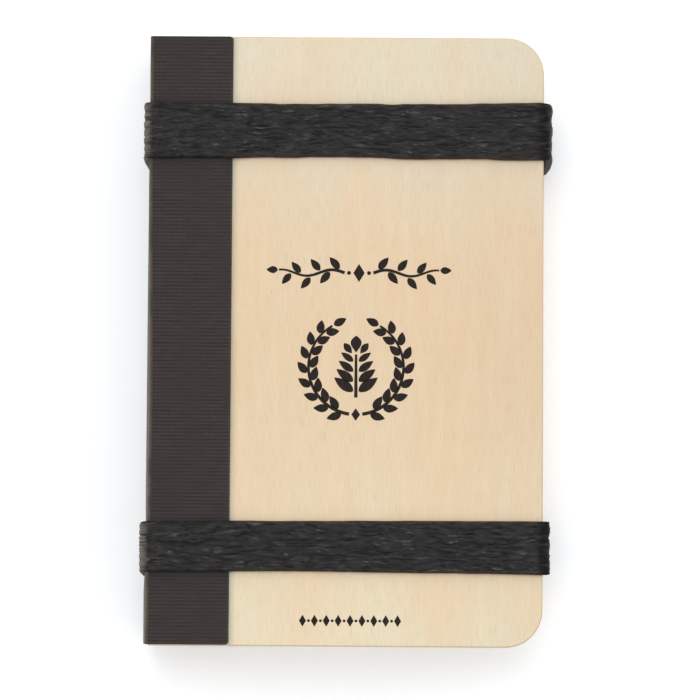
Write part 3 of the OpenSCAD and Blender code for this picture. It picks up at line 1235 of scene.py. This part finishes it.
@dataclass
class Ornaments:
    """The three generic ornaments printed on the front board."""

    rule_centre: Pair = (2.8 * MM, 15.5 * MM)
    rule_half: float = 21.3 * MM
    wreath_centre: Pair = (2.24 * MM, -6.12 * MM)
    stem_radius: float = 10.9 * MM
    foot_centre: Pair = (1.24 * MM, -64.1 * MM)
    foot_width: float = 23.3 * MM
    foot_count: int = 9

    def leaf_rule(self) -> list[np.ndarray]:
        """Draws two leafy tendrils that run out from a lozenge.

        Returns:
            The outlines.
        """
        wave, height, gap = 11.6 * MM, 0.7 * MM, 0.5 * MM
        start, end = 3.3 * MM, self.rule_half - 2.9 * MM

        def level(x: Values) -> Values:
            """The tendril's height at x."""
            return height * np.sin(math.tau * (x - start) / wave)

        x = np.linspace(start, end, 60)
        right = [
            polygon((2.3 * MM, 0), 0.9 * MM, 0.9 * MM, 24),
            stroke(np.stack([x, level(x)], 1), 0.75 * MM, 0.45 * MM),
            blade((end + 0.25 * MM, level(end)), 0, 2.6 * MM, 1.6 * MM),
        ]
        for k, spot in enumerate(np.arange(start + 1.2 * MM, end - 0.6 * MM, wave / 5.2)):
            up, size = (-1 if k % 2 else 1), 1 - 0.02 * k
            base = (spot, level(spot) + up * gap)
            right.append(blade(base, up * math.radians(50), 3.5 * MM * size, 1.75 * MM * size))
        return [polygon((0, 0), 2.6 * MM, 4.2 * MM, 4), *mirrored(right)]

    def wreath(self) -> list[np.ndarray]:
        """Draws an open wreath of leaves round an upright sprig.

        Returns:
            The outlines.
        """
        radius, gap = self.stem_radius, 0.48 * MM
        angles = np.radians(np.linspace(-82, 60, 70))
        right = [stroke(radius * np.stack([np.cos(angles), np.sin(angles)], 1), 0.8 * MM, 0.5 * MM)]
        for k, spot in enumerate(np.radians(np.arange(-73, 57, 16.5))):
            for out in (1, -1):
                place = spot + (0 if out > 0 else math.radians(6))
                heading = place + math.pi / 2 - out * math.radians(33)
                reach = radius + out * gap
                base = (reach * math.cos(place), reach * math.sin(place))
                right.append(blade(base, heading, (3.5 - 0.06 * k) * MM, 1.85 * MM))
        last = math.radians(62)
        tip = (radius * math.cos(last), radius * math.sin(last))
        right.append(blade(tip, last + math.pi / 2, 3.2 * MM, 1.8 * MM))
        return [polygon((0, -radius), 2.0 * MM, 2.9 * MM, 4), *mirrored(right), *self.sprig()]

    def sprig(self) -> list[np.ndarray]:
        """Draws the upright sprig inside the wreath.

        Returns:
            The outlines.
        """
        foot, top = -7.0 * MM, 2.9 * MM
        stem = np.stack([np.zeros(12), np.linspace(foot, top, 12)], 1)
        right = [blade((0.95 * MM, top + 0.2 * MM), math.radians(52), 3.0 * MM, 1.6 * MM, 0.55)]
        for k in range(4):
            size = 1 - 0.12 * k
            base = (0.62 * MM, foot + (1.4 + 2.3 * k) * MM)
            right.append(blade(base, math.radians(36), 5.4 * MM * size, 2.3 * MM * size))
        bud = blade((0, top + 0.4 * MM), math.pi / 2, 3.9 * MM, 2.5 * MM, 0.58)
        return [stroke(stem, 0.8 * MM, 0.55 * MM), bud, *mirrored(right)]

    def foot_rule(self) -> list[np.ndarray]:
        """Draws a row of lozenges and dots.

        Returns:
            The outlines.
        """
        width, dot = 1.6 * MM, 0.65 * MM
        pitch = (self.foot_width - width) / (self.foot_count - 1)
        places = (np.arange(self.foot_count) - (self.foot_count - 1) / 2) * pitch
        lozenges = [polygon((x, 0), width, 2.7 * MM, 4) for x in places]
        return lozenges + [polygon((x + pitch / 2, 0), dot, dot, 20) for x in places[:-1]]

    def build(self) -> None:
        """Prints all three."""
        Print("printed_leaf_rule", self.rule_centre, self.leaf_rule()).build()
        Print("printed_wreath", self.wreath_centre, self.wreath()).build()
        Print("printed_foot_rule", self.foot_centre, self.foot_rule()).build()


@dataclass
class Studio:
    """The camera at the photograph's angle, the light table and the soft light."""

    distance: float = 0.62
    lens: float = 139.06
    look_at: Pair = (0.84 * MM, -2.22 * MM)
    tilt: float = math.radians(2.9)
    side: float = math.radians(0.19)
    roll: float = math.radians(0.368)
    floor_half: float = 1.6
    key_size: float = 0.95
    key_place: tuple[float, float, float] = (-0.15, 0.7, 1.36)
    key_power: float = 5.4
    sky_high: float = 0.55
    sky_low: float = 1.6
    sky_band: Pair = (0.35, 0.85)
    sky_lean: tuple[float, float, float] = (0.05, 0.24, 0)

    def camera(self) -> None:
        """Places the camera: close above the front board, a little towards the tail."""
        target = Vector((*self.look_at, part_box("front_board")[1].z))
        level = math.cos(self.tilt)
        back = Vector((math.sin(self.side) * level, -math.sin(self.tilt), math.cos(self.side) * level))
        back.normalize()
        right = Vector((0, 1, 0)).cross(back).normalized()
        up = back.cross(right)
        c, s = math.cos(self.roll), math.sin(self.roll)
        axes = Matrix((c * right + s * up, c * up - s * right, back)).transposed()
        data = bpy.data.cameras.new("photo_camera")
        data.lens = self.lens
        data.clip_start, data.clip_end = 0.01, 20
        made = bpy.data.objects.new("photo_camera", data)
        made.matrix_world = Matrix.Translation(target + back * self.distance) @ axes.to_4x4()
        bpy.context.scene.collection.objects.link(made)
        bpy.context.scene.camera = made

    def floor(self) -> None:
        """Lays the light table that the press rests on."""
        h = self.floor_half
        corners = np.array([(-h, -h, 0), (h, -h, 0), (h, h, 0), (-h, h, 0)])
        mesh_piece("light_table", corners, [(0, 1, 2, 3)], LIT_ACRYLIC, smooth=False)

    def light(self) -> None:
        """Hangs one soft lamp at the head, in a sky that is bright low down and dim above."""
        data = bpy.data.lights.new("key_light", "AREA")
        data.shape, data.size, data.energy = "DISK", self.key_size, self.key_power
        made = bpy.data.objects.new("key_light", data)
        made.location = self.key_place
        made.rotation_mode = "QUATERNION"
        made.rotation_quaternion = Vector(self.key_place).to_track_quat("Z", "Y")
        bpy.context.scene.collection.objects.link(made)
        world = bpy.data.worlds.new("studio_sky")
        bpy.context.scene.world = world
        world.use_nodes = True
        tree = world.node_tree
        here = add_node(tree, "TexCoord", output="Generated")
        height = add_node(tree, "SeparateXYZ", inputs={"Vector": here}, output="Z")
        names = ("From Min", "From Max", "To Min", "To Max")
        limits = dict(zip(names, (*self.sky_band, self.sky_low, self.sky_high)))
        glow = add_node(
            tree, "MapRange", {"interpolation_type": "SMOOTHSTEP"}, {"Value": height, **limits}
        )
        lean = add_node(
            tree, "VectorMath", {"operation": "DOT_PRODUCT"}, {0: here, 1: self.sky_lean}, output="Value"
        )
        strength = add_node(tree, "Math", {"operation": "MULTIPLY_ADD"}, {0: lean, 1: glow, 2: glow})
        tree.links.new(strength, tree.nodes["Background"].inputs["Strength"])
        tree.nodes["Background"].inputs["Color"].default_value = (1, 1, 1, 1)

    def build(self) -> None:
        """Sets up the studio."""
        bpy.context.scene.view_settings.view_transform = "Standard"
        self.camera()
        self.floor()
        self.light()


def main() -> None:
    """Builds the press's looks in order."""
    logging.basicConfig(level=logging.INFO, format="%(name)s: %(message)s")
    Studio().build()
    Boards().build()
    PressingStack().build()
    ClothBinding().build()
    ElasticBand(
        "upper_band", head_edge=(6.4, 6.5, 6.35, 6.4, 6.4, 6.6, 6.95),
        tail_edge=(6.4, 6.32, 6.14, 5.88, 6.27, 6.24, 6.5), seed=11, ridge_seed=50, ripple=0.22 * MM,
        spine_slip=-1.4 * MM, fore_slip=-2.0 * MM, spine_bulge=0.15 * MM, fore_bulge=0.55 * MM,
    ).build()
    ElasticBand(
        "lower_band", head_edge=(5.75, 5.95, 5.9, 6.0, 6.05, 6.05, 6.05),
        tail_edge=(5.75, 5.68, 5.52, 5.63, 5.87, 5.94, 6.2), seed=47, ridge_seed=66, ripple=0.08 * MM,
        spine_slip=-2.6 * MM, fore_slip=-0.2 * MM, spine_bulge=0.47 * MM, fore_bulge=-0.25 * MM,
    ).build()
    Ornaments().build()


if __name__ == "__main__":
    main()
